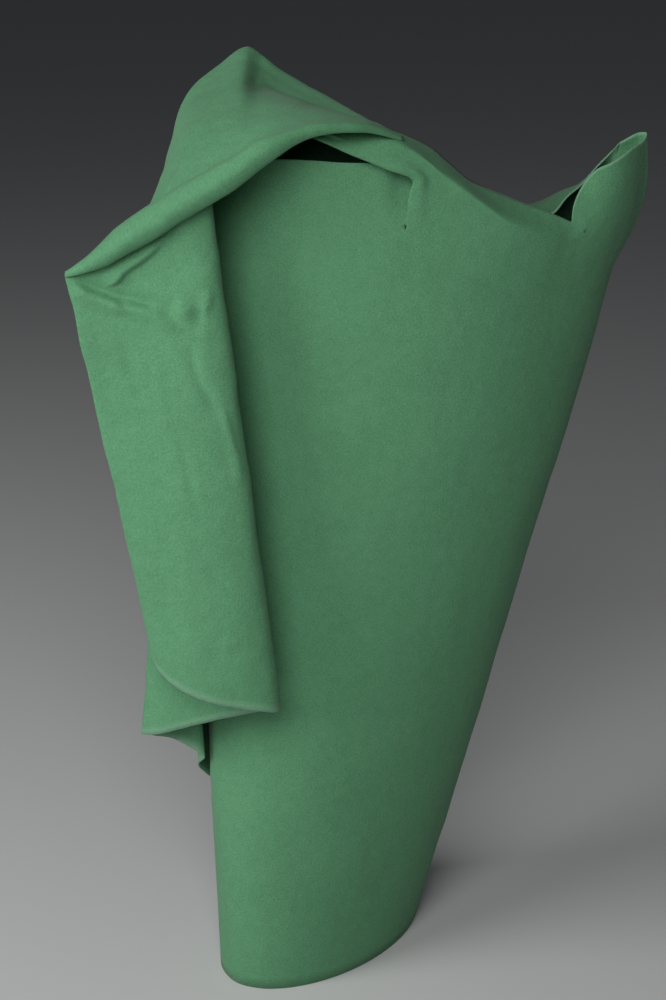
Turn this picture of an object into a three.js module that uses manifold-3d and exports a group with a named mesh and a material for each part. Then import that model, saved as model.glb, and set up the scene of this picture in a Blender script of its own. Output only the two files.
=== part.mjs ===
// A loosely rolled length of cotton canvas that stands on its narrow end.
// Millimetres, +Z up. The front of the roll faces -Y.
//
// The cloth is wound into a cone that flares up to the right. Its outer end is left loose:
// it rises behind the mouth as a hood, folds forward over the mouth in a soft roll,
// and hangs down the left of the front as a flat scroll.

import * as THREE from 'three';
import Module from 'manifold-3d';

const wasm = await Module();
wasm.setup();

// Driving sizes.
const CLOTH = 3;              // the doubled cloth, as thick as it lies
const MIDDLE = { x: 26.79, y: -28.15 };  // middle of the space that the roll takes up
const OUTER_END = 22;         // direction in degrees where the loose end takes over
const TURNS = 1.25;           // how often the cloth goes round inside it
const TURN_INSET = 9;         // how far each turn lies inside the one before
const INNER_DROP = 95;        // how much lower the hidden inner end stands
const LIP_DEPTH = 24;         // height of the strip along the mouth that leans inwards
const LIP_LEAN = 17;          // how far that strip leans in
const HORN_PULL = { x: -9, y: -64, z: 10 };     // how far the right end's tip is pulled forward
const HORN_START = { height: 610, x: 190 };     // where that pull starts
const HORN_FULL = { height: 760, x: 262 };      // where it is whole
const LEAN_SHARE = 0.85;      // share of the loose end's lines that stays plain
const ROOF_START = 640;       // height at which the loose end starts to lean in at the right
const BACK_SLACK = 5;         // how far out the loose end stands once it has gone round the back
const HOOD_FOOT = 590;        // height on the loose end's back from which the hood rises
const HOOD_SHOULDER = 645;    // height up to which the hood lies against the cone
const HOOD_TURN = 690;        // height at which the hood starts to lean over the mouth
const HOOD_STEP = 1;          // how far the hood's foot lies outside the back it rises from
const CROWN_SLACK = 5;        // how far the cloth behind the crown bags out
const FACE_LIFT = 5;          // how far the hood's face bags up between its fold and its roll
const LEAST_ROLL = 4.5;       // the roll at the front of the hood is never thinner than this
const LAPEL_TALL = 1.12;      // how much taller than deep that roll is, as it lies aslant
const GRIDS = {               // steps along and up each sheet
  wound: [70, 15],
  hood: [42, 34],
  loose: [81, 12],
  crowding: 1.25,             // how much the wound cloth's steps crowd towards its mouth
};

const rad = THREE.MathUtils.degToRad;

// The cone, by height: middle of the section and half its width and depth.
// pinch draws the right end to a flat fold: 1 is a round end. turn is how many degrees the
// section is turned, right end back.
const CONE = [
  { height: 0,   middleX: -13.5, middleY: 2,  halfWidth: 123, halfDepth: 74,  pinch: 1.0,  turn: 50 },
  { height: 130, middleX: 1.5,   middleY: -2, halfWidth: 135, halfDepth: 81,  pinch: 1.0,  turn: 39 },
  { height: 260, middleX: 15.5,  middleY: -3, halfWidth: 145, halfDepth: 89,  pinch: 1.0,  turn: 29 },
  { height: 400, middleX: 34,    middleY: -3, halfWidth: 154, halfDepth: 98,  pinch: 1.0,  turn: 20 },
  { height: 520, middleX: 49,    middleY: -1, halfWidth: 170, halfDepth: 106, pinch: 1.05, turn: 15 },
  { height: 640, middleX: 63,    middleY: 2,  halfWidth: 188, halfDepth: 110, pinch: 1.2,  turn: 15 },
  { height: 700, middleX: 75,    middleY: 4,  halfWidth: 199, halfDepth: 112, pinch: 1.5,  turn: 15 },
  { height: 775, middleX: 79,    middleY: 5,  halfWidth: 203, halfDepth: 113, pinch: 1.8,  turn: 15 },
];

// The raw top edge, by direction round the cone in degrees: 0 is the right end, -90 the front.
const MOUTH = [
  { direction: -200, height: 655 },
  { direction: -180, height: 690 },
  { direction: -160, height: 745 },
  { direction: -133, height: 760 },
  { direction: -102, height: 760 },
  { direction: -86,  height: 735 },
  { direction: -72,  height: 712 },
  { direction: -61,  height: 698 },
  { direction: -55,  height: 724 },
  { direction: -48,  height: 741 },
  { direction: -36,  height: 747 },
  { direction: -15,  height: 753 },
  { direction: 0,    height: 759 },
  { direction: 14,   height: 758 },
  { direction: 22,   height: 751 },
  { direction: 30,   height: 722 },
  { direction: 45,   height: 692 },
  { direction: 62,   height: 672 },
  { direction: 90,   height: 646 },
  { direction: 135,  height: 636 },
  { direction: 160,  height: 655 },
];

// The loose end behind the right half of the mouth, where its top leans in over the mouth:
// where it bends, and its raw edge.
const ROOF = [
  { direction: 23.4, hemZ: 10, bendX: 240, bendY: 25, bendZ: 732, edgeX: 239, edgeY: 9, edgeZ: 753 },
  { direction: 26, hemZ: 14, bendX: 236, bendY: 36,  bendZ: 727, edgeX: 233, edgeY: 14,  edgeZ: 745 },
  { direction: 31, hemZ: 23, bendX: 226, bendY: 50,  bendZ: 717, edgeX: 222, edgeY: 9,   edgeZ: 734 },
  { direction: 36, hemZ: 30, bendX: 214, bendY: 60,  bendZ: 709, edgeX: 212, edgeY: 0,   edgeZ: 724 },
  { direction: 42, hemZ: 39, bendX: 201, bendY: 69,  bendZ: 704, edgeX: 199, edgeY: -9,  edgeZ: 715 },
  { direction: 50, hemZ: 51, bendX: 180, bendY: 80,  bendZ: 694, edgeX: 186, edgeY: -18, edgeZ: 702 },
  { direction: 60, hemZ: 67, bendX: 146, bendY: 103, bendZ: 684, edgeX: 151, edgeY: 42,  edgeZ: 692 },
  { direction: 69, hemZ: 79, bendX: 116, bendY: 110, bendZ: 686, edgeX: 117, edgeY: 66,  edgeZ: 700 },
  { direction: 76, hemZ: 88, bendX: 91,  bendY: 112, bendZ: 696, edgeX: 87,  edgeY: 80,  edgeZ: 709 },
];

// The loose end under the hood, where it lies against the cone.
const BACK = [
  { direction: 81,  hemZ: 94,  topZ: 640 },
  { direction: 100, hemZ: 121, topZ: 620 },
  { direction: 125, hemZ: 156, topZ: 610 },
  { direction: 148, hemZ: 189, topZ: 610 },
  { direction: 164, hemZ: 208, topZ: 655 },
  { direction: 177, hemZ: 225, topZ: 700 },
];

// The hanging scroll, which the loose end goes on into, followed along the cloth: where each
// upright line of it has its hem, and where it goes up under the roll of the hood.
const SCROLL = [
  { hemX: -139, hemY: -76,  hemZ: 240, topX: -128, topY: -66,  topZ: 724 },
  { hemX: -160, hemY: -100, hemZ: 256, topX: -123, topY: -88,  topZ: 722 },
  { hemX: -167, hemY: -111, hemZ: 262, topX: -121, topY: -102, topZ: 716 },
  { hemX: -157, hemY: -121, hemZ: 266, topX: -121, topY: -113, topZ: 712 },
  { hemX: -122, hemY: -130, hemZ: 278, topX: -118, topY: -126, topZ: 710 },
  { hemX: -88,  hemY: -137, hemZ: 290, topX: -113, topY: -136, topZ: 716 },
  { hemX: -56,  hemY: -141, hemZ: 298, topX: -101, topY: -142, topZ: 728 },
  { hemX: -44,  hemY: -152, hemZ: 303, topX: -96,  topY: -146, topZ: 736 },
  { hemX: -48,  hemY: -165, hemZ: 307, topX: -98,  topY: -155, topZ: 737 },
  { hemX: -66,  hemY: -173, hemZ: 312, topX: -109, topY: -160, topZ: 731 },
  { hemX: -105, hemY: -176, hemZ: 322, topX: -134, topY: -157, topZ: 719 },
  { hemX: -131, hemY: -169, hemZ: 332, topX: -162, topY: -152, topZ: 702 },
  { hemX: -148, hemY: -158, hemZ: 345, topX: -190, topY: -150, topZ: 684 },
  { hemX: -153, hemY: -147, hemZ: 362, topX: -211, topY: -150, topZ: 675 },
  { hemX: -142, hemY: -141, hemZ: 368, topX: -198, topY: -143, topZ: 677 },
  { hemX: -122, hemY: -145, hemZ: 368, topX: -176, topY: -145, topZ: 683 },
];

// The hood, from its left side to its right: its crown, the fold across its face with the
// valley behind it, and the lowest line of the roll at its front. root is the direction round
// the cone where it rises from; sharp is the depth of the crease behind the roll.
const HOOD_CROWN = [
  { root: 184, crownX: -150, crownY: -86, crownZ: 682 },
  { root: 182, crownX: -150, crownY: -80, crownZ: 689 },
  { root: 179, crownX: -149, crownY: -68, crownZ: 702 },
  { root: 175, crownX: -145, crownY: -57, crownZ: 711 },
  { root: 170, crownX: -136, crownY: -20, crownZ: 760 },
  { root: 163, crownX: -123, crownY: 18,  crownZ: 799 },
  { root: 157, crownX: -99,  crownY: 38,  crownZ: 819 },
  { root: 150, crownX: -74,  crownY: 50,  crownZ: 835 },
  { root: 143, crownX: -61,  crownY: 46,  crownZ: 828 },
  { root: 136, crownX: -49,  crownY: 42,  crownZ: 818 },
  { root: 128, crownX: -28,  crownY: 32,  crownZ: 807 },
  { root: 116, crownX: 2,    crownY: 8,   crownZ: 793 },
  { root: 100, crownX: 27,   crownY: -30, crownZ: 784 },
  { root: 87,  crownX: 42,   crownY: -62, crownZ: 781 },
  { root: 76,  crownX: 54,   crownY: -86, crownZ: 778 },
];

const HOOD_FOLD = [
  { foldX: -180, foldY: -118, foldZ: 678,   valley: 0 },
  { foldX: -172, foldY: -113, foldZ: 686,   valley: 0 },
  { foldX: -162, foldY: -105, foldZ: 696,   valley: 0 },
  { foldX: -149, foldY: -98,  foldZ: 705,   valley: 0 },
  { foldX: -136, foldY: -74,  foldZ: 751,   valley: 0 },
  { foldX: -120, foldY: -50,  foldZ: 785,   valley: 0 },
  { foldX: -98,  foldY: -38,  foldZ: 801,   valley: 0 },
  { foldX: -76,  foldY: -22,  foldZ: 813,   valley: 0 },
  { foldX: -64,  foldY: 2,    foldZ: 808,   valley: 1.0 },
  { foldX: -47,  foldY: -14,  foldZ: 804,   valley: 4.5 },
  { foldX: -28,  foldY: -36,  foldZ: 800,   valley: 7.5 },
  { foldX: 1,    foldY: -62,  foldZ: 790.5, valley: 8 },
  { foldX: 25,   foldY: -84,  foldZ: 785.5, valley: 5 },
  { foldX: 41,   foldY: -98,  foldZ: 781,   valley: 3 },
  { foldX: 54,   foldY: -106, foldZ: 777.5, valley: 1 },
];

const HOOD_ROLL = [
  { edgeX: -211, edgeY: -152, edgeZ: 675, radius: 1.5,  sharp: 0.0 },
  { edgeX: -194, edgeY: -158, edgeZ: 680, radius: 5.0,  sharp: 0.5 },
  { edgeX: -179, edgeY: -162, edgeZ: 685, radius: 9.0,  sharp: 1.0 },
  { edgeX: -158, edgeY: -168, edgeZ: 697, radius: 11.5, sharp: 1.0 },
  { edgeX: -136, edgeY: -172, edgeZ: 710, radius: 12.0, sharp: 1.0 },
  { edgeX: -116, edgeY: -175, edgeZ: 723, radius: 12.0, sharp: 1.0 },
  { edgeX: -97,  edgeY: -176, edgeZ: 735, radius: 11.5, sharp: 1.0 },
  { edgeX: -75,  edgeY: -174, edgeZ: 748, radius: 11.0, sharp: 0.8 },
  { edgeX: -56,  edgeY: -170, edgeZ: 762, radius: 9.5,  sharp: 0.4 },
  { edgeX: -43,  edgeY: -166, edgeZ: 771, radius: 7.5,  sharp: 0.1 },
  { edgeX: -28,  edgeY: -159, edgeZ: 780, radius: 5.0,  sharp: 0.0 },
  { edgeX: -2,   edgeY: -148, edgeZ: 787, radius: 3.6,  sharp: 0.0 },
  { edgeX: 23,   edgeY: -136, edgeZ: 786, radius: 2.8,  sharp: 0.0 },
  { edgeX: 39,   edgeY: -124, edgeZ: 782, radius: 2.0,  sharp: 0.0 },
  { edgeX: 55,   edgeY: -111, edgeZ: 776, radius: 1.0,  sharp: 0.0 },
];

// The hood's face between its fold and the crease behind the roll: the share of the way, and
// how much of the lift it has there.
const HOOD_FACE = [
  { share: 0.35, lift: 1 },
  { share: 0.72, lift: 0.8 },
];

// The roll at the front of the hood, in radii from its lowest line: backwards and up.
const LAPEL = [
  { back: 0.95,  up: 2.0 },
  { back: 0.0,   up: 1.85 },
  { back: -0.55, up: 1.0 },
  { back: 0.1,   up: 0.05 },
  { back: 1.1,   up: 0.2 },
  { back: 1.75,  up: 0.9 },
];
const CREASE_SOFT = { back: 1.7, up: 2.0 };
const CREASE_SHARP = { back: 1.9, up: 1.5 };

// One column of a table, read between its rows with a soft curve.
function read(rows, key, place) {
  const last = rows.length - 1;
  const row = Math.min(Math.max(Math.floor(place), 0), last - 1);
  const t = place - row;
  const value = (index) => rows[Math.min(Math.max(index, 0), last)][key];
  const [a, b, c, d] = [value(row - 1), value(row), value(row + 1), value(row + 2)];
  const slope = (c - a) / 2;
  const nextSlope = (d - b) / 2;
  return b + t * (slope + t * (3 * (c - b) - 2 * slope - nextSlope
    + t * (2 * (b - c) + slope + nextSlope)));
}

// Where a value of the first column falls among the rows: 2.5 is halfway from row 2 to row 3.
function placeOf(rows, key, value) {
  let row = 0;
  while (row < rows.length - 2 && rows[row + 1][key] < value) row += 1;
  const [low, high] = [rows[row][key], rows[row + 1][key]];
  return row + THREE.MathUtils.clamp((value - low) / (high - low), 0, 1);
}

// A point of the cone's middle surface, at a direction and a height, moved in by an inset.
// The tip of its right end is pulled to the front.
function conePoint(direction, height, inset) {
  const place = placeOf(CONE, 'height', height);
  const angle = rad(direction);
  const along = (read(CONE, 'halfWidth', place) - inset) * Math.cos(angle);
  const rightEnd = THREE.MathUtils.smoothstep(Math.cos(angle), 0.1, 0.8);
  const power = 1 + (read(CONE, 'pinch', place) - 1) * rightEnd;
  const across = (read(CONE, 'halfDepth', place) - inset)
    * Math.sign(Math.sin(angle)) * Math.abs(Math.sin(angle)) ** power;
  const turn = rad(read(CONE, 'turn', place));
  const x = read(CONE, 'middleX', place) + along * Math.cos(turn) - across * Math.sin(turn);
  const y = read(CONE, 'middleY', place) + along * Math.sin(turn) + across * Math.cos(turn);
  const pull = THREE.MathUtils.smoothstep(height, HORN_START.height, HORN_FULL.height)
    * THREE.MathUtils.smoothstep(x, HORN_START.x, HORN_FULL.x);
  return new THREE.Vector3(x, y, height)
    .addScaledVector(new THREE.Vector3(HORN_PULL.x, HORN_PULL.y, HORN_PULL.z), pull);
}

// The height of the raw edge at a direction, and how much the strip below it leans in.
function mouthHeight(direction, turnsIn) {
  const around = direction < -200 ? direction + 360 : direction;
  const height = read(MOUTH, 'height', placeOf(MOUTH, 'direction', around));
  return height - INNER_DROP * THREE.MathUtils.smoothstep(turnsIn, 0.7, 0.85);
}

function lipLean(direction) {
  const rise = THREE.MathUtils.smoothstep(direction, -108, -92);
  const fall = 1 - THREE.MathUtils.smoothstep(direction, -75, -58);
  return LIP_LEAN * rise * fall;
}

// The wound cloth: a grid of points round the cone (columns) and up it (rows).
function woundGrid([columns, rows]) {
  const grid = [];
  for (let i = 0; i <= columns; i += 1) {
    const turnsIn = TURNS * (i / columns);
    const direction = OUTER_END - 360 * turnsIn;
    const top = mouthHeight(direction, turnsIn);
    const column = [];
    for (let j = 0; j <= rows; j += 1) {
      const height = top * (1 - (1 - j / rows) ** GRIDS.crowding);
      const inLip = THREE.MathUtils.smoothstep(height, top - LIP_DEPTH, top);
      const inset = TURN_INSET * turnsIn + lipLean(direction) * inLip;
      column.push(conePoint(direction, height, inset));
    }
    grid.push(column);
  }
  return grid;
}

// How far outside the cone's middle surface the loose end lies, at a direction.
function slack(direction) {
  return BACK_SLACK * THREE.MathUtils.smoothstep(direction, OUTER_END, 180);
}

// A point that lies back and up from another one, in radii of the hood's roll.
function rolled(edge, radius, { back, up }) {
  return edge.clone().add(new THREE.Vector3(0, back * radius, up * LAPEL_TALL * radius));
}

// One upright line of the hood: up the back, over the crown, forward to the roll and under it.
function hoodLine(place) {
  const point = (rows, name) => new THREE.Vector3(...['X', 'Y', 'Z']
    .map((axis) => read(rows, name + axis, place)));
  const root = read(HOOD_CROWN, 'root', place);
  const crown = point(HOOD_CROWN, 'crown');
  const fold = point(HOOD_FOLD, 'fold');
  const edge = point(HOOD_ROLL, 'edge');
  const valley = read(HOOD_FOLD, 'valley', place);
  const radius = Math.max(read(HOOD_ROLL, 'radius', place), LEAST_ROLL);
  const sharp = THREE.MathUtils.clamp(read(HOOD_ROLL, 'sharp', place), 0, 1);
  const out = -slack(root) - HOOD_STEP;
  const turn = conePoint(root, HOOD_TURN, out);
  const crease = rolled(edge, radius, CREASE_SOFT).lerp(rolled(edge, radius, CREASE_SHARP), sharp);
  return new THREE.CatmullRomCurve3([
    conePoint(root, HOOD_FOOT, out),
    conePoint(root, HOOD_SHOULDER, out),
    turn,
    crown.clone().lerp(turn, 0.3).add(new THREE.Vector3(0, CROWN_SLACK, 0)),
    crown,
    fold.clone().lerp(crown, 0.6).add(new THREE.Vector3(0, 0, -0.4 * valley)),
    fold.clone().lerp(crown, 0.22).add(new THREE.Vector3(0, 0, -valley)),
    fold,
    ...HOOD_FACE.map(({ share, lift }) => fold.clone().lerp(crease, share)
      .add(new THREE.Vector3(0, 0, FACE_LIFT * lift))),
    crease,
    ...LAPEL.map((step) => rolled(edge, radius, step)),
  ], false, 'centripetal');
}

function hoodGrid([columns, rows]) {
  const grid = [];
  for (let i = 0; i <= columns; i += 1) {
    const line = hoodLine((HOOD_CROWN.length - 1) * (i / columns));
    grid.push(line.getPoints(rows));
  }
  return grid;
}

// The upright lines of the loose end. Half of the steps lie below the height where the roof
// starts to lean in, which is at a share LEAN_SHARE of every line.
function roofLine({ direction, hemZ, bendX, bendY, bendZ, edgeX, edgeY, edgeZ }, rows) {
  const out = -slack(direction);
  const half = rows / 2;
  const bend = new THREE.Vector3(bendX, bendY, bendZ);
  const edge = new THREE.Vector3(edgeX, edgeY, edgeZ);
  const lean = new THREE.CatmullRomCurve3([
    conePoint(direction, ROOF_START - 30, out),
    conePoint(direction, ROOF_START, out),
    conePoint(direction, ROOF_START + 30, out),
    bend,
    bend.clone().lerp(edge, 0.5).add(new THREE.Vector3(0, 0, 0.06 * bend.distanceTo(edge))),
    edge,
  ], false, 'centripetal');
  return Array.from({ length: rows + 1 }, (_, j) => (j < half
    ? conePoint(direction, THREE.MathUtils.lerp(hemZ, ROOF_START, j / half), out)
    : lean.getPoint(THREE.MathUtils.lerp(0.2, 1, (j - half) / half))));
}

function plainLine(pointAt, rows) {
  const half = rows / 2;
  return Array.from({ length: rows + 1 }, (_, j) => pointAt(j < half
    ? LEAN_SHARE * (j / half)
    : THREE.MathUtils.lerp(LEAN_SHARE, 1, (j - half) / half)));
}

// The back of the loose end and the scroll. Each level of the grid is one soft curve, round
// the back of the cone and on through the folds of the scroll.
function looseGrid([columns, rows]) {
  const lines = [
    ...ROOF.map((row) => roofLine(row, rows)),
    ...BACK.map(({ direction, hemZ, topZ }) => plainLine((share) => conePoint(
      direction, THREE.MathUtils.lerp(hemZ, topZ, share), -slack(direction)), rows)),
    ...SCROLL.map((row) => plainLine((share) => new THREE.Vector3(row.hemX, row.hemY, row.hemZ)
      .lerp(new THREE.Vector3(row.topX, row.topY, row.topZ), share), rows)),
  ];
  const grid = Array.from({ length: columns + 1 }, () => []);
  for (let j = 0; j <= rows; j += 1) {
    const level = new THREE.CatmullRomCurve3(lines.map((line) => line[j]), false, 'centripetal');
    grid.forEach((column, i) => column.push(level.getPoint(i / columns)));
  }
  return grid;
}

// The direction in which a sheet is thick at one point of its grid.
function sheetNormal(grid, i, j, upright) {
  const along = grid[Math.min(i + 1, grid.length - 1)][j].clone()
    .sub(grid[Math.max(i - 1, 0)][j]);
  const up = upright
    ? new THREE.Vector3(0, 0, 1)
    : grid[i][Math.min(j + 1, grid[i].length - 1)].clone().sub(grid[i][Math.max(j - 1, 0)]);
  return along.cross(up).normalize();
}

// A closed solid of even thickness round a grid of points. An upright sheet is thickened
// level, so its lower edge stays flat.
function sheetGeometry(grid, thickness, upright) {
  const [columns, rows] = [grid.length, grid[0].length];
  const positions = [];
  for (const side of [0.5, -0.5]) {
    for (let i = 0; i < columns; i += 1) {
      for (let j = 0; j < rows; j += 1) {
        const point = grid[i][j].clone()
          .addScaledVector(sheetNormal(grid, i, j, upright), side * thickness);
        positions.push(point.x, point.y, point.z);
      }
    }
  }
  const front = (i, j) => i * rows + j;
  const back = (i, j) => columns * rows + i * rows + j;
  const faces = [];
  const quad = (a, b, c, d) => faces.push(a, b, c, a, c, d);
  for (let i = 0; i < columns - 1; i += 1) {
    for (let j = 0; j < rows - 1; j += 1) {
      quad(front(i, j), front(i + 1, j), front(i + 1, j + 1), front(i, j + 1));
      quad(back(i, j), back(i, j + 1), back(i + 1, j + 1), back(i + 1, j));
    }
    quad(front(i, 0), back(i, 0), back(i + 1, 0), front(i + 1, 0));
    quad(front(i, rows - 1), front(i + 1, rows - 1), back(i + 1, rows - 1), back(i, rows - 1));
  }
  for (let j = 0; j < rows - 1; j += 1) {
    quad(front(0, j), front(0, j + 1), back(0, j + 1), back(0, j));
    quad(front(columns - 1, j), back(columns - 1, j), back(columns - 1, j + 1),
      front(columns - 1, j + 1));
  }
  const geometry = new THREE.BufferGeometry();
  geometry.setAttribute('position', new THREE.Float32BufferAttribute(positions, 3));
  geometry.setIndex(faces);
  return geometry;
}

// Joins sheets of the same cloth into one solid.
function joined(geometries) {
  const solids = geometries.map((geometry) => new wasm.Manifold(new wasm.Mesh({
    numProp: 3,
    vertProperties: geometry.attributes.position.array,
    triVerts: new Uint32Array(geometry.index.array),
  })));
  const mesh = solids.reduce((sum, solid) => sum.add(solid)).getMesh();
  const geometry = new THREE.BufferGeometry();
  geometry.setAttribute('position', new THREE.BufferAttribute(mesh.vertProperties, 3));
  geometry.setIndex(new THREE.BufferAttribute(mesh.triVerts, 1));
  return geometry;
}

function canvas(name, geometry) {
  geometry.computeVertexNormals();
  const material = new THREE.MeshStandardMaterial({
    color: 0x3f7d55,
    roughness: 0.95,
    metalness: 0,
  });
  const mesh = new THREE.Mesh(geometry, material);
  mesh.name = name;
  return mesh;
}

const roll = new THREE.Group();
roll.add(canvas('wound_canvas', sheetGeometry(woundGrid(GRIDS.wound), CLOTH, true)));
roll.add(canvas('loose_end', joined([
  sheetGeometry(hoodGrid(GRIDS.hood), CLOTH, false),
  sheetGeometry(looseGrid(GRIDS.loose), CLOTH, false),
])));
roll.position.set(-MIDDLE.x, -MIDDLE.y, 0);

export default roll;
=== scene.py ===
# %% [markdown]
# # A roll of cotton canvas
#
# A length of green canvas, wound loosely into a cone, stands on its narrow end. Its outer end
# comes up behind the mouth as a hood, folds forward and hangs down the front as a flat scroll.
# Everything is worked out in millimetres in the roll's own frame, and becomes metres in the
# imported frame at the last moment.

import math

import bmesh
import bpy
import numpy as np
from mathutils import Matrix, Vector, noise


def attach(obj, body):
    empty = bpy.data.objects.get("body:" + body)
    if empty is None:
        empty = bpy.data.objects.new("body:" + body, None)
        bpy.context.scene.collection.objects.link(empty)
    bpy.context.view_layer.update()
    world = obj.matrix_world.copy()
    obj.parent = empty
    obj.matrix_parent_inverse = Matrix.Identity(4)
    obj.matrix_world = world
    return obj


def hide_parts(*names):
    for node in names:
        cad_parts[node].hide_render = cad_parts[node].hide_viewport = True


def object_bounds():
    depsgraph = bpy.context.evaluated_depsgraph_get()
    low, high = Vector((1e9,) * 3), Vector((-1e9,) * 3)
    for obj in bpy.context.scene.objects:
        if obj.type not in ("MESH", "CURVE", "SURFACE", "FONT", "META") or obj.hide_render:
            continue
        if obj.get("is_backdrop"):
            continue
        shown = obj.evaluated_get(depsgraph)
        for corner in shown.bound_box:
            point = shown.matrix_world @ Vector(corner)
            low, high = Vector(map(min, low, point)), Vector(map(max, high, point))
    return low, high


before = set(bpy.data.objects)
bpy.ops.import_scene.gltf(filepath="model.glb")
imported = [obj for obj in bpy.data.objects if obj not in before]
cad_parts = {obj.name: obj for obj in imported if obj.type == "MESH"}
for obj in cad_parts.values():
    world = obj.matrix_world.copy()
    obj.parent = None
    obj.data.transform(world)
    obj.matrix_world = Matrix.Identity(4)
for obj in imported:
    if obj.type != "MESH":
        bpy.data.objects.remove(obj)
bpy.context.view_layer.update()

# %% [markdown]
# ## Sizes
#
# CONE, SCROLL and HOOD hold the solids' own numbers, so the cloth lies where the solids are. The
# first row of ROOF and the tops of BACK, up to 35 mm higher here, differ where the sheets join.
# MOUTH differs too, because the front of the mouth is made from key lines further down.
# The cone is a stack of turned ovals, and a direction is an angle round it: 0 is its right
# end and -90 its front.

# %% Sizes of the roll, in millimetres
MIDDLE = np.array([26.79, -28.15, 0.0])   # middle of the space that the roll takes up
CLOTH = 1.3                 # thickness of one layer of canvas
HORN_PULL = (-9.0, -64.0, 10.0)    # how far the horn's tip is pulled to the front, x, y, z
HORN_START = (610.0, 190.0)        # height and x where that pull starts
HORN_FULL = (760.0, 262.0)         # height and x where it is whole
OUTER_END = 22.0            # direction where the loose end takes over
TURNS = 1.25                # how often the cloth goes round inside it
TURN_INSET = 9.0            # how far each turn lies inside the one before
INNER_DROP = 95.0           # how much lower the hidden inner end stands
BACK_SLACK = 5.0            # how far out the loose end stands once it has gone round
LEAN_SHARE = 0.85           # share of the loose end's upright lines that stays plain
ROOF_START = 640.0          # height at which the loose end starts to lean in at the right
HOOD_SHOULDER = 645.0       # height up to which the hood lies against the cone
HOOD_TURN = 690.0           # height at which the hood starts to lean over the mouth
CROWN_SLACK = 5.0           # how far the cloth behind the crown bags out

# height, middle x, middle y, half width, half depth, pinch of the right end, and how many
# degrees the oval is turned, right end back
CONE = np.array([
    [0, -13.5, 2, 123, 74, 1.0, 50],
    [130, 1.5, -2, 135, 81, 1.0, 39],
    [260, 15.5, -3, 145, 89, 1.0, 29],
    [400, 34, -3, 154, 98, 1.0, 20],
    [520, 49, -1, 170, 106, 1.05, 15],
    [640, 63, 2, 188, 110, 1.2, 15],
    [700, 75, 4, 199, 112, 1.5, 15],
    [775, 79, 5, 203, 113, 1.8, 15],
])

# direction, height of the raw top edge
MOUTH = np.array([
    [-200, 655], [-180, 690], [-160, 745], [-133, 760], [-102, 760], [-86, 735], [-72, 712],
    [-58, 698], [-48, 716], [-36, 740], [-15, 752], [0, 762], [14, 750], [30, 720], [45, 692],
    [62, 672], [90, 646], [135, 636], [160, 655],
])

# The loose end behind the mouth's right half, where its top leans in over the mouth:
# direction, height of the hem, bend x, y, z, raw edge x, y, z
ROOF = np.array([
    [22, 7, 242, 16, 736, 244, 2, 760],
    [26, 14, 236, 36, 727, 233, 14, 745],
    [31, 23, 226, 50, 717, 222, 9, 734],
    [36, 30, 214, 60, 709, 212, 0, 724],
    [42, 39, 201, 69, 704, 199, -9, 715],
    [50, 51, 180, 80, 694, 186, -18, 702],
    [60, 67, 146, 103, 684, 151, 42, 692],
    [69, 79, 116, 110, 686, 117, 66, 700],
    [76, 88, 91, 112, 696, 87, 80, 709],
])

# direction, height of the hem, height of the top: the loose end under the hood
BACK = np.array([
    [80, 93, 655], [100, 121, 645], [125, 156, 645], [148, 189, 645], [164, 208, 665],
    [177, 225, 700],
])

# hem x, y, z and top x, y, z: the hanging scroll, followed along the cloth
SCROLL = np.array([
    [-139, -76, 240, -128, -66, 724],
    [-160, -100, 256, -123, -88, 722],
    [-167, -111, 262, -121, -102, 716],
    [-157, -121, 266, -121, -113, 712],
    [-122, -130, 278, -118, -126, 710],
    [-88, -137, 290, -113, -136, 716],
    [-56, -141, 298, -101, -142, 728],
    [-44, -152, 303, -96, -146, 736],
    [-48, -165, 307, -98, -155, 737],
    [-66, -173, 312, -109, -160, 731],
    [-105, -176, 322, -134, -157, 719],
    [-131, -169, 332, -162, -152, 702],
    [-148, -158, 345, -190, -150, 684],
    [-153, -147, 362, -211, -150, 675],
    [-142, -141, 368, -198, -143, 677],
    [-122, -145, 368, -176, -145, 683],
])

# root direction; crown x, y, z; fold x, y, z and the depth of the valley behind it; lowest
# line of the lapel x, y, z; its radius, the depth of the crease behind it, and how far the
# fold below it drops
HOOD = np.array([
    [184, -150, -86, 682, -180, -118, 678, 0, -211, -152, 675, 1.5, 0.0, 0],
    [182, -150, -80, 689, -172, -113, 686, 0, -194, -158, 680, 5.0, 0.5, 3],
    [179, -149, -68, 702, -162, -105, 696, 0, -179, -162, 685, 9.0, 1.0, 11],
    [175, -145, -57, 711, -149, -98, 705, 0, -158, -168, 697, 11.5, 1.0, 14],
    [170, -136, -20, 760, -136, -74, 751, 0, -136, -172, 710, 12.0, 1.0, 6],
    [163, -123, 18, 799, -120, -50, 785, 0, -116, -175, 723, 12.0, 1.0, 0],
    [157, -99, 38, 819, -98, -38, 801, 0, -97, -176, 735, 11.5, 1.0, -4],
    [150, -74, 50, 835, -76, -22, 813, 0, -75, -174, 748, 11.0, 0.8, -6],
    [143, -61, 46, 828, -64, 2, 808, 1.0, -56, -170, 762, 9.5, 0.4, -6],
    [136, -49, 42, 818, -47, -14, 804, 4.5, -43, -166, 771, 7.5, 0.1, -5],
    [128, -28, 32, 807, -28, -36, 800, 7.5, -28, -159, 780, 5.0, 0.0, -4],
    [116, 2, 8, 793, 1, -62, 790.5, 8, -2, -148, 787, 3.6, 0.0, -3],
    [100, 27, -30, 784, 25, -84, 785.5, 5, 23, -136, 786, 2.8, 0.0, -2],
    [87, 42, -62, 781, 41, -98, 781, 3, 39, -124, 782, 2.0, 0.0, -1],
    [76, 54, -86, 778, 54, -106, 777.5, 1, 55, -111, 776, 1.0, 0.0, 0],
])

# share of the way from the fold to the crease behind the lapel, and lift above that line
HOOD_FACE = [(0.35, 5), (0.72, 4)]

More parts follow.
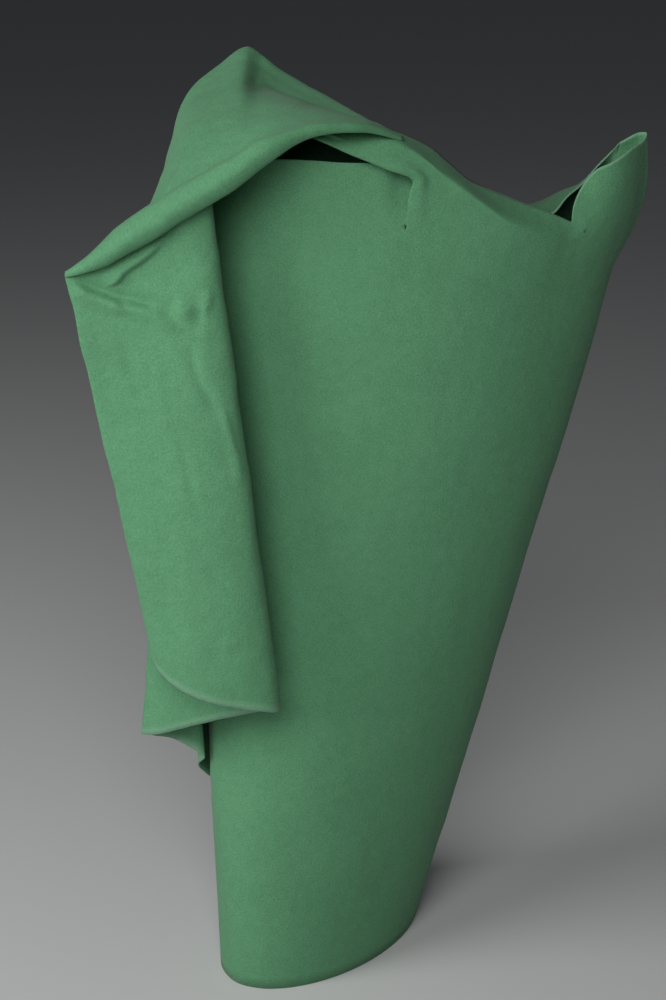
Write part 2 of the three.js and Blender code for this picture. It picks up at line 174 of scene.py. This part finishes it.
# round the lapel, backwards and up from its lowest line, in radii; it is a little taller
# than deep, because it lies aslant
LAPEL = [(0.95, 2.0), (0.0, 1.85), (-0.55, 1.0), (0.1, 0.05), (1.1, 0.2), (1.75, 0.9)]
LAPEL_TALL = 1.12
CREASE_SOFT, CREASE_DEEP = (1.7, 2.0), (1.9, 1.5)

# the fold below the lapel, backwards and up from its lowest point, in the same radii
UNDER_FOLD = [(-0.04, 0.25), (0.07, 0.0), (0.25, 0.25), (0.55, 1.2)]
UNDER_FOLD_BACK = 1.55      # how far behind the lapel's lowest line it hangs

# %% [markdown]
# ## Reading a table softly
#
# Real cloth bends without corners, so every table is read between its rows with a soft curve,
# and every line of the cloth is a Catmull-Rom curve through its few named points.

# %% Soft curves
def smoothstep(value, low, high):
    t = np.clip((np.asarray(value, float) - low) / (high - low), 0, 1)
    return t * t * (3 - 2 * t)


def read(column, place):
    """A column of a table at a fractional row, with a soft curve between its rows."""
    last = len(column) - 1
    row = np.clip(np.floor(place).astype(int), 0, last - 1)
    t = place - row
    a, b, c, d = (column[np.clip(row + step, 0, last)] for step in (-1, 0, 1, 2))
    slope, next_slope = (c - a) / 2, (d - b) / 2
    return b + t * (slope + t * (3 * (c - b) - 2 * slope - next_slope
                                 + t * (2 * (b - c) + slope + next_slope)))


def place_of(column, value):
    return np.interp(value, column, np.arange(len(column)))


def soft_line(knots, steps):
    """A centripetal Catmull-Rom curve through knots, with so many steps in each span.

    The knots may be whole lines of points: then the result is a grid."""
    knots = np.asarray(knots, float)
    knots = np.concatenate([[2 * knots[0] - knots[1]], knots, [2 * knots[-1] - knots[-2]]])
    made = []
    for i, count in enumerate(steps):
        p0, p1, p2, p3 = knots[i:i + 4]
        gap = [np.maximum(np.linalg.norm(b - a, axis=-1, keepdims=True), 1e-6) ** 0.5
               for a, b in ((p0, p1), (p1, p2), (p2, p3))]
        t0, t1 = 0, gap[0]
        t2, t3 = t1 + gap[1], t1 + gap[1] + gap[2]
        for k in range(count + (i == len(steps) - 1)):
            t = t1 + (t2 - t1) * k / count
            a1 = (t1 - t) / (t1 - t0) * p0 + (t - t0) / (t1 - t0) * p1
            a2 = (t2 - t) / (t2 - t1) * p1 + (t - t1) / (t2 - t1) * p2
            a3 = (t3 - t) / (t3 - t2) * p2 + (t - t2) / (t3 - t2) * p3
            b1 = (t2 - t) / (t2 - t0) * a1 + (t - t0) / (t2 - t0) * a2
            b2 = (t3 - t) / (t3 - t1) * a2 + (t - t1) / (t3 - t1) * a3
            made.append((t2 - t) / (t2 - t1) * b1 + (t - t1) / (t2 - t1) * b2)
    return np.array(made)


def cone_point(direction, height, inset):
    """Points on the cone at a direction in degrees and a height, moved in by an inset."""
    direction, height, inset = np.broadcast_arrays(direction, height, inset)
    place = place_of(CONE[:, 0], height)
    middle_x, middle_y, half_width, half_depth, pinch, turn = (read(CONE[:, k], place)
                                                               for k in range(1, 7))
    angle, turn = np.radians(direction), np.radians(turn)
    along = (half_width - inset) * np.cos(angle)
    power = 1 + (pinch - 1) * smoothstep(np.cos(angle), 0.1, 0.8)
    across = (half_depth - inset) * np.sign(np.sin(angle)) * np.abs(np.sin(angle)) ** power
    x = middle_x + along * np.cos(turn) - across * np.sin(turn)
    y = middle_y + along * np.sin(turn) + across * np.cos(turn)
    pull = (smoothstep(height, HORN_START[0], HORN_FULL[0])
            * smoothstep(x, HORN_START[1], HORN_FULL[1]))[..., None]
    return np.stack([x, y, height * 1.0], axis=-1) + pull * np.array(HORN_PULL)


print("front of the cone at 400 mm:", cone_point(-90.0, 400.0, 0.0).round(1))

# %% [markdown]
# ## Cloth from a grid
#
# Each sheet is a grid of points: columns along the cloth and rows up it. The grid keeps the
# real lengths along and up the cloth as its UV map, in metres, so a weave drawn on it has the
# same pitch everywhere.

# %% A sheet's mesh
def lengths(grid):
    """How far each point of a grid lies along and up its sheet."""
    along = np.linalg.norm(np.diff(grid, axis=0), axis=-1)
    up = np.linalg.norm(np.diff(grid, axis=1), axis=-1)
    u = np.concatenate([np.zeros((1, grid.shape[1])), np.cumsum(along, axis=0)])
    v = np.concatenate([np.zeros((grid.shape[0], 1)), np.cumsum(up, axis=1)], axis=1)
    return np.stack([u - u[len(u) // 2], v], axis=-1)


def make_cloth(name, sheets):
    """One cloth object from grids that meet. Each sheet is a grid, its UVs and its wear."""
    points, faces, uvs, wears = [], [], [], []
    for grid, uv, wear in sheets:
        columns, rows = grid.shape[:2]
        first = len(points)
        points.extend(((grid.reshape(-1, 3) - MIDDLE) / 1000).tolist())
        uvs.extend((uv.reshape(-1, 2) / 1000).tolist())
        wears.extend(np.broadcast_to(wear, (columns, rows)).reshape(-1).tolist())
        for i in range(columns - 1):
            for j in range(rows - 1):
                a = first + i * rows + j
                faces.append((a, a + rows, a + rows + 1, a + 1))
    mesh = bpy.data.meshes.new(name)
    mesh.from_pydata(points, [], faces)
    layer = mesh.uv_layers.new(name="Cloth")
    layer.data.foreach_set("uv", np.array([uvs[loop.vertex_index] for loop in mesh.loops],
                                          dtype=np.float32).ravel())
    worn = mesh.attributes.new("wear", "FLOAT", "POINT")
    worn.data.foreach_set("value", wears)
    work = bmesh.new()
    work.from_mesh(mesh)
    bmesh.ops.remove_doubles(work, verts=work.verts, dist=0.00005)
    for face in work.faces:
        face.smooth = True
    work.to_mesh(mesh)
    work.free()
    cloth = bpy.data.objects.new(name, mesh)
    bpy.context.collection.objects.link(cloth)
    solid = cloth.modifiers.new("Thickness", "SOLIDIFY")
    solid.thickness = CLOTH / 1000
    solid.offset = 0
    area = sum(polygon.area for polygon in mesh.polygons)
    print(f"{name}: {len(mesh.polygons)} faces, {area:.3f} square metres")
    return cloth


# %% [markdown]
# ## The wound cloth
#
# The cone is one sheet that goes round one and a quarter times, each turn a little inside the
# one before. At the front its raw edge does three things. At the left it simply ends. In the
# middle a strip of it is folded over to the left, under the lapel, and from there to the right
# the cloth rolls over a soft crest and leans into the mouth. At the right it overlaps the horn
# in a short pleat. So the front is built from upright key lines, each a few named points, and
# a soft surface runs through them. A point is a direction round the cone, a height, and how
# far it stands out from the cone.

# %% Key lines of the mouth
# how high up its lowest mouth point each level of the plain cone below it lies
CONE_LEVELS = [0.0, 0.16, 0.32, 0.48, 0.63, 0.77, 0.89]

# The horn, from the right of the back to the pleat: direction at the foot, height where it
# starts to lean, then direction, height and stand-off of its raw edge, and how far it bags out
# below that
HORN = [
    (22, 640, 22, 751, 0, 12), (14, 642, 14, 758, 0, 12), (7, 643, 7, 759.5, 0, 10),
    (0, 644, 0, 759.5, 0, 7), (-8, 646, -8.5, 755.5, 0, 4), (-16, 648, -17, 753, 0, 2),
    (-24, 650, -26, 752, 0, 1), (-31, 652, -35, 748, 0, 0), (-37, 654, -43, 744, 0, 0),
    (-42, 656, -50, 741.5, 0, 0), (-46, 657, -55, 732, -1, 0), (-49, 658, -57.6, 717, -2, 0),
    (-51.5, 659, -56.5, 698, -4, 0),
]

# The front panel from the pleat to the strip. Its sixth point is the crest and its last one
# the raw edge.
PANEL = [
    [-51.5, (-51.5, 659, 0), (-51.5, 667, 0), (-51.5, 674, 0), (-51.5, 681, 0),
     (-51.5, 687, 0), (-51.5, 691, 0), (-51.2, 693.5, 0)],
    [-57.5, (-57.5, 656, 0), (-57.5, 664, 0), (-57.5, 671, 0), (-57.5, 678, 0),
     (-57.5, 684, 0.3), (-57.5, 690, 0.3), (-57.5, 702, -4.5)],
    [-63, (-63, 658, 0), (-63, 666, 0), (-63, 674, 0), (-63, 681, 0.4), (-63, 687, 0.8),
     (-63, 693, 0.8), (-63.5, 710, -11)],
    [-70, (-70, 664, 0), (-70, 672, 0), (-70, 680, 0), (-70, 687, 0.5), (-70, 693, 1),
     (-70.3, 699, 1.2), (-71, 719.5, -19)],
    [-77, (-77, 672, 0), (-77, 681, 0), (-77, 689, 0.3), (-77, 696, 0.8), (-77, 702, 1.6),
     (-77.5, 708, 2), (-78.5, 729.5, -24)],
    [-83, (-83, 680, 0), (-83, 690, 0), (-83, 699, 0.5), (-83, 708, 1.2), (-83.4, 716, 2),
     (-84.3, 722, 2.5), (-85.5, 738.5, -26)],
    [-88, (-88, 686, 0), (-88, 697, 0.3), (-88, 708, 0.8), (-88.3, 719, 1.6),
     (-89.3, 729, 2.5), (-90.5, 737, 3), (-92, 754, -27)],
    [-92, (-92, 693, 0), (-92, 706, 0.5), (-92, 719, 1), (-92.5, 731, 2), (-94.5, 743, 3),
     (-96.5, 751.5, 3), (-97.5, 767.5, -26)],
    [-95.5, (-95.6, 699, 0), (-95.5, 713, 0.5), (-95.5, 728, 1.5), (-96.3, 742, 2.5),
     (-99, 756, 3.5), (-102.3, 768, 3), (-104.5, 777.5, -22)],
    [-98.5, (-98.8, 703, 0), (-98.6, 718, 1), (-98.6, 733, 2), (-99.4, 747, 3.5),
     (-103, 761, 5), (-107.5, 776, 5), (-111, 784, -10)],
    [-101, (-101.3, 706, 0), (-101.2, 720, 1.8), (-101, 734, 3.6), (-101, 748, 6.5),
     (-107, 760, 8.5), (-115, 773, 9), (-120, 783, 2)],
    [-103.6, (-103.6, 709, 0), (-103.6, 721.5, 0.6), (-103.4, 733, 1.8), (-102.8, 746, 4.5),
     (-109.2, 756, 8.5), (-117, 767.5, 11), (-126.4, 781, 14)],
]
# the strip's hidden turned-back edge: along, up and out from its fold, in millimetres
STRIP_TURN_BACK = [(0.6, 0.4, -1.5), (3, 2.5, -3.2), (7, 6, -4)]

# The left of the front, from behind the strip: direction, height of the raw edge, and how far
# in the cloth lies there.
LEFT_EDGE = [
    [-103.6, 750, -10], [-105.4, 753, -9], [-109, 757, -3], [-113.5, 759, -0.5],
    [-119.5, 759.5, 0], [-128, 760.5, 0], [-138, 761, 0], [-147, 760.5, 0], [-160, 745, 0],
    [-180, 690, 0], [-205, 656, 0],
]
LEFT_TUCK = 5.0             # degrees that its first line slips behind the strip
print("key lines:", len(HORN), "of the horn,", len(PANEL), "of the panel,", len(LEFT_EDGE), "left")

# %% [markdown]
# ## The wound cloth's surface
#
# A soft surface runs through the key lines. Where two of them were worked out apart, one is
# eased onto the other over a few columns, so that the cloth has no slit there.

# %% The wound cloth's grids
LOW_SHARE = 0.93            # no plain line at the left goes higher than this share of its edge
INNER_SHARE = 0.94          # where the named points of a hidden inner line begin
LAST_LEFT = -205            # direction where the hidden inner turns begin
INNER_LINES = 12            # key lines of the hidden inner turns
EASE_COLUMNS = 8            # columns over which one grid's end is eased onto another line
STRIP_GROWS = 14            # rows over which the strip's turned-back edge grows


def on_cone(direction, height, out):
    return cone_point(direction, height, TURN_INSET * (OUTER_END - direction) / 360 - out)


def key_line(foot, points):
    """One upright line: up the plain cone and on through its named points."""
    first = np.array(points[0], float)
    below = [on_cone(foot, level * first[1], 0.0) for level in CONE_LEVELS]
    return below + [on_cone(*point) for point in points]


LEVEL_STEPS = [9] * 5 + [10, 10] + [7] * 6    # rows between the levels of a key line
FIRST_POINT = sum(LEVEL_STEPS[:7])            # row of a key line's first named point
CREST = sum(LEVEL_STEPS[:12])                 # row of its sixth


def surface(lines, steps):
    lines = soft_line(np.array(lines), steps)
    return soft_line(lines.transpose(1, 0, 2), LEVEL_STEPS).transpose(1, 0, 2)


def mouth_height(direction, turns_in):
    around = np.where(direction < -200, direction + 360, direction)
    height = read(MOUTH[:, 1], place_of(MOUTH[:, 0], around))
    return height - INNER_DROP * smoothstep(turns_in, 0.7, 0.85)


def follow(grid, column, other, rows):
    """Moves one end of a grid onto another grid's line, softly over its nearest columns."""
    order = range(len(grid)) if column == 0 else range(len(grid) - 1, -1, -1)
    gap = other[:rows] - grid[column, :rows]
    for step, index in zip(range(EASE_COLUMNS + 1), order):
        grid[index, :rows] += gap * (1 - smoothstep(step, 0, EASE_COLUMNS))


horn_lines = []
for foot, start, direction, edge, out, bag in HORN:
    lean = np.clip(np.linspace(-1, 1, 7), 0, 1) ** 1.3
    horn_lines.append(key_line(foot, [
        (foot + (direction - foot) * share, start + (edge - start) * t,
         out * share + bag * math.sin(math.pi * t))
        for t, share in zip(np.linspace(0, 1, 7), lean)]))
horn = surface(horn_lines, [5] * 12)
PANEL_STEPS = [5, 6, 8, 9, 8, 8, 7, 7, 6, 6, 6]
panel = surface([key_line(foot, points) for foot, *points in PANEL], PANEL_STEPS)
follow(horn, -1, panel[0], CREST + 1)

fold = panel[-1, FIRST_POINT:]
grown = smoothstep(np.arange(len(fold)), 0, STRIP_GROWS)[:, None]
turned_back = [fold + grown * [along, -out, up] for along, up, out in STRIP_TURN_BACK]
strip_back = soft_line([fold] + turned_back, [3, 3, 3])

left_lines = []
for direction, edge, out in LEFT_EDGE:
    low = min(PANEL[-1][1][1], LOW_SHARE * edge)
    tuck = LEFT_TUCK if direction == LEFT_EDGE[0][0] else 0
    left_lines.append(key_line(direction, [(direction + tuck * smoothstep(t, 0.1, 0.7),
                                            low + (edge - low) * t, out * smoothstep(t, 0, 1))
                                           for t in np.linspace(0, 1, 7)]))
for direction in np.linspace(LAST_LEFT, OUTER_END - 360 * TURNS, INNER_LINES + 1)[1:]:
    turns_in = (OUTER_END - direction) / 360
    edge = mouth_height(direction, turns_in)
    left_lines.append(key_line(direction, [(direction, edge * s, 0.0)
                                           for s in np.linspace(INNER_SHARE, 1, 7)]))
left = surface(left_lines, [4, 5, 6, 6, 7, 7, 6, 6, 7, 7] + [4] * INNER_LINES)
follow(left, 0, panel[-1], FIRST_POINT + 1)
print("wound cloth grids:", horn.shape, panel.shape, left.shape)

# %% [markdown]
# ## The loose end
#
# Its hem leaves the floor at the right, climbs round the back and goes on through the folds
# of the scroll. Each level of the grid is one soft curve round all of that.

# %% The loose end's grids
def slack(direction):
    return BACK_SLACK * smoothstep(direction, OUTER_END, 180)


PLAIN_ROWS = 85             # rows of the plain part of an upright line
BEND_ROWS = 46              # rows from there to the top, where the line leans
LEAD_IN = 30                # how far below the lean its soft curve takes its direction from

# columns between the upright lines of the loose end
LOOSE_STEPS = [4] * 4 + [5, 6, 6, 5, 3] + [8] * 5 + [5] * 7 + [5] * 2 + [14] * 5 + [5] * 2


def loose_line(low, leave, high):
    """One upright line: plainly from low to leave, then softly through the points of high."""
    plain = low(np.linspace(0, 1, PLAIN_ROWS))
    start = low(np.array([1 - LEAD_IN / ROOF_START]))[0]
    return np.concatenate([plain[:-1], soft_line([start, leave, *high], [1, 12, 12, 11, 10])[1:]])


def loose_grid():
    knots = []
    for direction, hem, *points in ROOF:
        bend, edge = np.array(points[:3]), np.array(points[3:])
        out = -slack(direction)
        knots.append(loose_line(
            lambda t: cone_point(direction, hem + (ROOF_START - hem) * t, out),
            cone_point(direction, ROOF_START, out),
            [cone_point(direction, ROOF_START + 30, out), bend,
             (bend + edge) / 2 + [0, 0, 0.06 * np.linalg.norm(bend - edge)], edge]))
    share = np.concatenate([np.linspace(0, LEAN_SHARE, PLAIN_ROWS)[:-1],
                            np.linspace(LEAN_SHARE, 1, BEND_ROWS)])
    for direction, hem, top in BACK:
        knots.append(cone_point(direction, hem + (top - hem) * share, -slack(direction)))
    for row in SCROLL:
        knots.append(row[None, :3] + (row[3:] - row[:3])[None, :] * share[:, None])
    return soft_line(knots, LOOSE_STEPS)


def hood_lines():
    """The knots of each upright line of the hood, from its left side to its right."""
    lines = []
    for row in HOOD:
        root, depth, (radius, sharp, drop) = row[0], row[7], row[11:]
        crown, fold, edge = row[1:4], row[4:7], row[8:11]
        out = -slack(root)
        turn = cone_point(root, HOOD_TURN, out)
        line = [cone_point(root, HOOD_SHOULDER, out), turn,
                crown + (turn - crown) * 0.3 + [0, CROWN_SLACK, 0], crown,
                fold + (crown - fold) * 0.6 + [0, 0, -0.4 * depth],
                fold + (crown - fold) * 0.22 + [0, 0, -depth], fold]
        back, up = (1 - sharp) * np.array(CREASE_SOFT) + sharp * np.array(CREASE_DEEP)
        crease = edge + [0, back * radius, up * LAPEL_TALL * radius]
        line += [fold + (crease - fold) * share + [0, 0, height * min(1, radius / 4)]
                 for share, height in HOOD_FACE] + [crease]
        line += [edge + [0, back * radius, up * LAPEL_TALL * radius] for back, up in LAPEL]
        line += [edge + [0, (UNDER_FOLD_BACK + back) * radius, up * radius - drop]
                 for back, up in UNDER_FOLD]
        lines.append(line)
    return np.array(lines)


def hood_grid():
    across = [6, 6, 7, 7, 7, 7, 7, 7, 6, 8, 9, 8, 7, 6]
    up = [10, 10, 10, 8, 8, 8, 10, 10, 9, 6, 5, 5, 5, 4, 4, 4, 3, 3, 4]
    lines = soft_line(hood_lines(), across)
    return soft_line(lines.transpose(1, 0, 2), up).transpose(1, 0, 2)


loose = loose_grid()
hood = hood_grid()
print("loose end grids:", loose.shape, hood.shape)

# %% [markdown]
# ## Creases
#
# The scroll has been folded and handled, so soft folds run in from its corners, each of its
# own length, width and height. They are pressed into the grid itself. Over all of it lies a
# faint crumple, stronger on the loose end than on the cone, and none where the cloth stands on
# the floor.

# %% Creases and crumple
# height, width to the left of the line, width to its right, then the line's points x, z as
# seen from the front
SCROLL_CREASES = [
    (6.0, 11, 1.6, [(-183, 667), (-171, 672), (-162, 681), (-149, 691), (-140, 699), (-128, 712)]),
    (4.5, 9, 2.5, [(-160, 646), (-170, 653), (-181, 657), (-196, 663), (-208, 672)]),
    (-3.5, 7, 2.0, [(-208, 676), (-196, 668), (-181, 662), (-170, 658), (-159, 650)]),
    (4.0, 8, 2.0, [(-116, 633), (-129, 641), (-141, 648), (-158, 652), (-176, 660)]),
    (-2.6, 7, 2.0, [(-176, 664), (-158, 657), (-141, 653), (-130, 647), (-120, 640)]),
    (3.6, 8, 8, [(-126, 656), (-118, 651), (-114, 645)]),
    (-1.5, 3, 6, [(-108, 657), (-104, 647), (-107, 638), (-114, 631)]),
    (2.0, 5, 3, [(-104, 646), (-98, 657), (-96, 668)]),
    (-2.4, 4, 6, [(-115, 632), (-111, 614), (-108, 598), (-99, 580), (-87, 558)]),
    (1.6, 2.5, 5, [(-90, 577), (-84, 556), (-77, 527), (-75, 500)]),
    (-1.3, 6, 6, [(-165, 622), (-161, 598), (-151, 568)]),
    (1.2, 5, 5, [(-140, 612), (-138, 585), (-131, 550)]),
    (-1.2, 5, 5, [(-126, 560), (-117, 520), (-109, 478)]),
    (1.3, 2.5, 5, [(-93, 370), (-86, 374), (-76, 376)]),
    (-1.4, 8, 8, [(-152, 430), (-140, 395), (-130, 360)]),
]


LOOSE_CRUMPLE = (1.0, 34)   # height of the crumple and size of its folds, loose end
WOUND_CRUMPLE = (0.7, 42)   # the same, wound cloth
CALM_FOOT = (5, 60)         # heights between which the crumple sets in


def calm(grid):
    return smoothstep(grid[..., 2], *CALM_FOOT)[..., None]


def outward(grid):
    """The way each point of a grid faces, turned to the front."""
    facing = np.cross(np.gradient(grid, axis=0), np.gradient(grid, axis=1))
    facing /= np.maximum(np.linalg.norm(facing, axis=-1, keepdims=True), 1e-9)
    return facing * np.where(facing[..., 1:2] > 0, -1, 1)


def crease_heights(seen, creases):
    """How high a set of creases stands at each point, seen as x, z from the front."""
    height = np.zeros(seen.shape[:-1])
    for rise, left_width, right_width, points in creases:
        line = soft_line(np.array(points, float), [4] * (len(points) - 1))
        reach = np.linspace(0, 1, len(line))
        start, step = line[:-1], np.diff(line, axis=0)
        rel = seen[..., None, :] - start
        t = np.clip((rel * step).sum(-1) / (step * step).sum(-1), 0, 1)
        away = rel - t[..., None] * step
        apart = np.linalg.norm(away, axis=-1)
        nearest = apart.argmin(-1)[..., None]
        side = np.take_along_axis(step[:, 0] * rel[..., 1] - step[:, 1] * rel[..., 0],
                                  nearest, -1)[..., 0]
        along = np.take_along_axis(reach[:-1] + t * np.diff(reach), nearest, -1)[..., 0]
        gap = np.take_along_axis(apart, nearest, -1)[..., 0]
        width = np.where(side > 0, left_width, right_width)
        fade = smoothstep(along, 0, 0.3) * (1 - smoothstep(along, 0.75, 1))
        height += rise * fade * np.exp(-(gap / width) ** 2)
    return height


def crumple(grid, amount, size):
    """Moves each point a little, by a soft noise of its place."""
    flat = [noise.noise_vector(Vector(point) / size)
            + noise.noise_vector(Vector(point) / size * 2.3) * 0.4
            for point in grid.reshape(-1, 3).tolist()]
    return grid + np.array(flat).reshape(grid.shape) * amount


seam = np.stack([np.interp(horn[0, :, 2], loose[0, :, 2], loose[0, :, axis])
                 for axis in range(3)], axis=-1)
follow(horn, 0, seam, len(seam))
front = slice(sum(LOOSE_STEPS[:23]), sum(LOOSE_STEPS[:28]))     # the scroll's front layer
pressed = crease_heights(loose[front][..., [0, 2]], SCROLL_CREASES)
loose[front] += outward(loose[front]) * pressed[..., None]
loose = loose + (crumple(loose, *LOOSE_CRUMPLE) - loose) * calm(loose)
hood = crumple(hood, *LOOSE_CRUMPLE)
horn, panel, left, strip_back = (
    part + (crumple(part, *WOUND_CRUMPLE) - part) * calm(part)
    for part in (horn, panel, left, strip_back))
print(f"creases stand up to {pressed.max():.1f} mm and {-pressed.min():.1f} mm deep")

# %% [markdown]
# ## The two cloths
#
# Each cloth is a single layer of canvas, given its thickness by a modifier. Its raw edges are
# worn pale, by an attribute that the material reads.

# %% Make the two cloths
def worn_edges(grid, top=0.0, foot=0.0):
    """Wear is whole on a raw edge, fades over the first centimetre of a hem, and is none beside
    that."""
    wear = np.zeros(grid.shape[:2])
    wear[:, -1], wear[:, 0], wear[:, 1] = top, foot, 0.5 * foot
    return wear


wound_cloth = make_cloth("wound_cloth", [
    (horn, lengths(horn), worn_edges(horn, top=0.7)),
    (panel, lengths(panel), worn_edges(panel, top=0.35)),
    (left, lengths(left), worn_edges(left, top=0.3)),
    (strip_back, lengths(strip_back), 0.0)])
loose_cloth = make_cloth("loose_cloth", [
    (loose, lengths(loose), worn_edges(loose, top=0.9, foot=0.9)),
    (hood, lengths(hood), 0.0)])

# %% [markdown]
# ## Canvas
#
# Plain-woven cotton: a soft green, slightly uneven, with the threads just seen. The threads
# follow the cloth's own lengths, and the uneven colour is one even noise through both cloths.

# %% The canvas material
CANVAS_DARK = (0.060, 0.185, 0.090)
CANVAS_LIGHT = (0.120, 0.320, 0.165)
CANVAS_WORN = (0.20, 0.36, 0.25)
THREAD_SHADE, BLOTCH_SHADE, CLOUD_SHADE = 1.0, 0.5, 0.4    # share of each in the colour's noise


def canvas_material():
    material = bpy.data.materials.new("Washed_canvas")
    material.use_nodes = True
    nodes, links = material.node_tree.nodes, material.node_tree.links
    shader = nodes["Principled BSDF"]
    shader.inputs["Roughness"].default_value = 0.92
    shader.inputs["Specular IOR Level"].default_value = 0.25
    shader.inputs["Sheen Weight"].default_value = 0.06
    shader.inputs["Sheen Roughness"].default_value = 0.45
    uv = nodes.new("ShaderNodeUVMap")
    uv.uv_map = "Cloth"
    place = nodes.new("ShaderNodeTexCoord")

    def math_node(kind, a, b):
        node = nodes.new("ShaderNodeMath")
        node.operation = kind
        for socket, value in zip(node.inputs, (a, b)):
            if isinstance(value, (int, float)):
                socket.default_value = value
            else:
                links.new(value, socket)
        return node.outputs[0]

    def threads_of(along, up):
        """Noise with so many spots in a metre along the cloth and up it."""
        stretch = nodes.new("ShaderNodeVectorMath")
        stretch.operation = "MULTIPLY"
        stretch.inputs[1].default_value = (along, up, 1)
        links.new(uv.outputs["UV"], stretch.inputs[0])
        node = nodes.new("ShaderNodeTexNoise")
        node.noise_dimensions = "2D"
        node.inputs["Scale"].default_value = 1.0
        node.inputs["Detail"].default_value = 1.0
        links.new(stretch.outputs["Vector"], node.inputs["Vector"])
        return node.outputs["Fac"]

    def spots(scale, detail=3.0):
        """Even noise with so many spots in a metre."""
        node = nodes.new("ShaderNodeTexNoise")
        node.inputs["Scale"].default_value = scale
        node.inputs["Detail"].default_value = detail
        links.new(place.outputs["Object"], node.inputs["Vector"])
        return node.outputs["Fac"]

    threads = math_node("ADD", threads_of(1100, 520), threads_of(520, 1100))
    shade = math_node("ADD", math_node("MULTIPLY", threads, THREAD_SHADE),
                      math_node("ADD", math_node("MULTIPLY", spots(130), BLOTCH_SHADE),
                                math_node("MULTIPLY", spots(14), CLOUD_SHADE)))
    shade = math_node("DIVIDE", shade, 2 * THREAD_SHADE + BLOTCH_SHADE + CLOUD_SHADE)
    ramp = nodes.new("ShaderNodeValToRGB")
    ramp.color_ramp.elements[0].position = 0.3
    ramp.color_ramp.elements[0].color = (*CANVAS_DARK, 1)
    ramp.color_ramp.elements[1].position = 0.7
    ramp.color_ramp.elements[1].color = (*CANVAS_LIGHT, 1)
    links.new(shade, ramp.inputs["Fac"])
    wear = nodes.new("ShaderNodeAttribute")
    wear.attribute_name = "wear"
    worn = math_node("MULTIPLY", wear.outputs["Fac"], math_node("ADD", spots(420), 0.25))
    mix = nodes.new("ShaderNodeMix")
    mix.data_type = "RGBA"
    mix.inputs["B"].default_value = (*CANVAS_WORN, 1)
    links.new(worn, mix.inputs["Factor"])
    links.new(ramp.outputs["Color"], mix.inputs["A"])
    links.new(mix.outputs["Result"], shader.inputs["Base Color"])
    for height, distance, before in ((threads, 0.0003, None), (spots(95), 0.0011, "fine")):
        bump = nodes.new("ShaderNodeBump")
        bump.inputs["Strength"].default_value = 0.5
        bump.inputs["Distance"].default_value = distance
        links.new(height, bump.inputs["Height"])
        if before:
            links.new(last.outputs["Normal"], bump.inputs["Normal"])
        last = bump
    links.new(last.outputs["Normal"], shader.inputs["Normal"])
    return material


canvas = canvas_material()
for cloth in (wound_cloth, loose_cloth):
    cloth.data.materials.append(canvas)
    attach(cloth, "root")
print("material:", canvas.name, "on", wound_cloth.name, "and", loose_cloth.name)
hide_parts("wound_canvas")
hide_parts("loose_end")

# %% [markdown]
# ## The view
#
# The camera stands about where the photographer is taken to have stood, and looks down. The key
# light is large and low at the left, and a second one in front fills the shadow beside the
# scroll.

# %% Camera, floor and light
CAMERA_TILT = 18.0          # degrees that the camera looks down
CAMERA_AWAY = 1.75          # metres to the point it looks at
camera_data = bpy.data.cameras.new("Camera")
camera_data.sensor_width = 36.0
camera_data.lens = 70.0
camera = bpy.data.objects.new("Camera", camera_data)
target = Vector((-0.02679, 0.02815, 0.441))      # on the axis of the roll's own frame
tilt = math.radians(CAMERA_TILT)
camera.location = target + Vector((0, -math.cos(tilt), math.sin(tilt))) * CAMERA_AWAY
camera.rotation_euler = (math.radians(90 - CAMERA_TILT), 0, 0)
bpy.context.collection.objects.link(camera)
bpy.context.scene.camera = camera

floor_mesh = bpy.data.meshes.new("floor")
floor_mesh.from_pydata([(-30, -30, 0), (30, -30, 0), (30, 30, 0), (-30, 30, 0)], [],
                       [(0, 1, 2, 3)])
floor = bpy.data.objects.new("floor", floor_mesh)
bpy.context.collection.objects.link(floor)
paper = bpy.data.materials.new("Pale_paper")
paper.use_nodes = True
paper.node_tree.nodes["Principled BSDF"].inputs["Base Color"].default_value = (0.6, 0.6, 0.6, 1)
paper.node_tree.nodes["Principled BSDF"].inputs["Roughness"].default_value = 0.9
floor_mesh.materials.append(paper)
floor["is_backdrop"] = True


def soft_light(name, azimuth, elevation, away, size, power):
    data = bpy.data.lights.new(name, "AREA")
    data.shape = "DISK"
    data.size = size
    data.energy = power
    lamp = bpy.data.objects.new(name, data)
    a, e = math.radians(azimuth), math.radians(elevation)
    back = Vector((math.sin(a) * math.cos(e), -math.cos(a) * math.cos(e), math.sin(e)))
    lamp.location = Vector((0, 0, 0.45)) + back * away
    lamp.rotation_mode = "QUATERNION"
    lamp.rotation_quaternion = (-back).to_track_quat("-Z", "Y")
    bpy.context.collection.objects.link(lamp)


soft_light("Key", -62, 21, 2.4, 1.4, 32)
soft_light("Front", -10, 30, 2.4, 1.4, 34)
world = bpy.data.worlds.new("Studio")
world.use_nodes = True
world.node_tree.nodes["Background"].inputs["Color"].default_value = (0.9, 0.95, 1.0, 1)
world.node_tree.nodes["Background"].inputs["Strength"].default_value = 0.04
bpy.context.scene.world = world
bpy.context.scene.view_settings.view_transform = "Standard"
print("camera at", [round(v, 3) for v in camera.location])

# %% [markdown]
# ## Sizes
#
# The box of everything that is shown, the floor left out, is printed.

low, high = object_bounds()
print("visual box:", [round(v, 4) for v in (*low, *high)])
